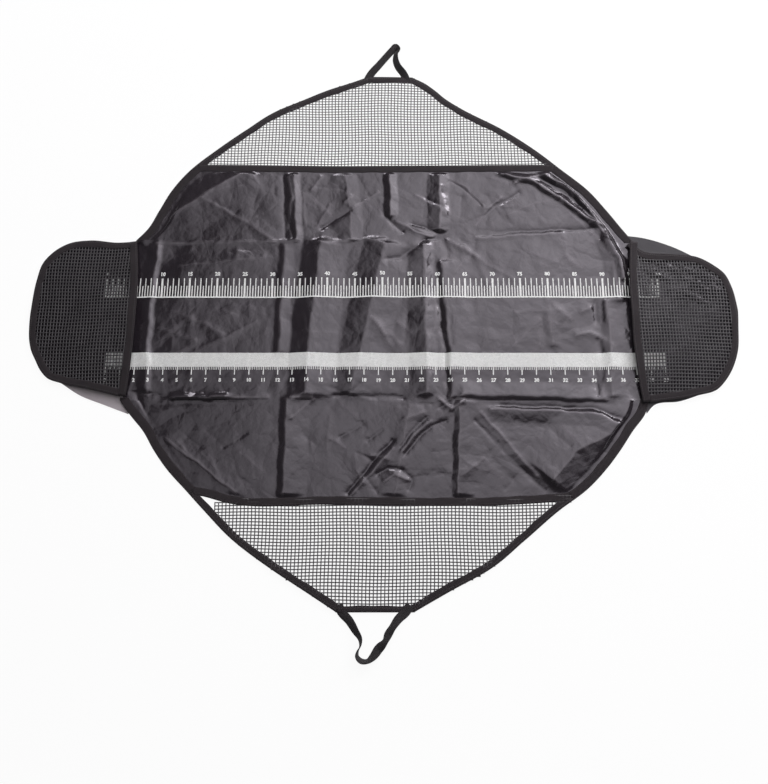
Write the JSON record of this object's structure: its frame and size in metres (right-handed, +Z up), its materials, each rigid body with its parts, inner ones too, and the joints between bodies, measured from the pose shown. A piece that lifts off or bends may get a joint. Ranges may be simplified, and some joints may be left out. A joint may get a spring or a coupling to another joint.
{
  "type": "unhooking mat",
  "caption": "Folding tarpaulin mat for landed fish, with net sides ending in webbing handles and a net hood over a pocket at each end.",
  "frame": {"origin": "on the ground under the middle of the floor sheet", "axes": "+X along the mat's length towards the right-hand pocket, +Y across it towards the back handle, +Z up"},
  "size_m": [1.2746, 1.1446, 0.0184],
  "materials": {
    "tarpaulin": "glossy coated tarpaulin, creased",
    "net": "coated open mesh",
    "binding_tape": "matte woven tape, stitched",
    "webbing": "matte woven webbing"
  },
  "bodies": {
    "floor": {"floor_sheet": "tarpaulin", "gusset_back_left": "tarpaulin", "gusset_back_right": "tarpaulin", "gusset_front_left": "tarpaulin", "gusset_front_right": "tarpaulin"},
    "wing_back": {"wing_sheet_back": "tarpaulin", "wing_edge_tape_back_left": "binding_tape", "wing_edge_tape_back_right": "binding_tape", "seam_tape_back": "binding_tape"},
    "wing_front": {"wing_sheet_front": "tarpaulin", "wing_edge_tape_front_left": "binding_tape", "wing_edge_tape_front_right": "binding_tape", "seam_tape_front": "binding_tape"},
    "net_back": {"net_panel_back": "net", "net_edge_tape_back_left": "binding_tape", "net_edge_tape_back_right": "binding_tape", "end_tape_back": "binding_tape"},
    "net_front": {"net_panel_front": "net", "net_edge_tape_front_left": "binding_tape", "net_edge_tape_front_right": "binding_tape", "end_tape_front": "binding_tape"},
    "handle_back": {"handle_back": "webbing"},
    "handle_front": {"handle_front": "webbing"},
    "hood_left": {"hood_net_left": "net", "rim_tape_left": "binding_tape", "mouth_tape_left": "binding_tape"},
    "hood_right": {"hood_net_right": "net", "rim_tape_right": "binding_tape", "mouth_tape_right": "binding_tape"}
  },
  "joints": [
    {"name": "wing_fold_back", "type": "hinge", "parent": "floor", "child": "wing_back", "pos_m": [0, 0.153, 0.0008], "axis": [1, 0, 0], "range_deg": [0, 90]},
    {"name": "wing_fold_front", "type": "hinge", "parent": "floor", "child": "wing_front", "pos_m": [0, -0.153, 0.0008], "axis": [-1, 0, 0], "range_deg": [0, 90]},
    {"name": "net_fold_back", "type": "hinge", "parent": "wing_back", "child": "net_back", "pos_m": [0, 0.31885, 0.0032], "axis": [1, 0, 0], "range_deg": [0, 20]},
    {"name": "net_fold_front", "type": "hinge", "parent": "wing_front", "child": "net_front", "pos_m": [0, -0.31885, 0.0032], "axis": [-1, 0, 0], "range_deg": [0, 20]},
    {"name": "handle_swing_back", "type": "hinge", "parent": "net_back", "child": "handle_back", "pos_m": [0, 0.49005, 0.0032], "axis": [1, 0, 0], "range_deg": [0, 150]},
    {"name": "handle_swing_front", "type": "hinge", "parent": "net_front", "child": "handle_front", "pos_m": [0, -0.49005, 0.0032], "axis": [-1, 0, 0], "range_deg": [0, 150]},
    {"name": "hood_lift_left", "type": "hinge", "parent": "floor", "child": "hood_left", "pos_m": [-0.6372, 0, 0.0011], "axis": [0, -1, 0], "range_deg": [0, 15]},
    {"name": "hood_lift_right", "type": "hinge", "parent": "floor", "child": "hood_right", "pos_m": [0.6372, 0, 0.0011], "axis": [0, 1, 0], "range_deg": [0, 15]}
  ]
}
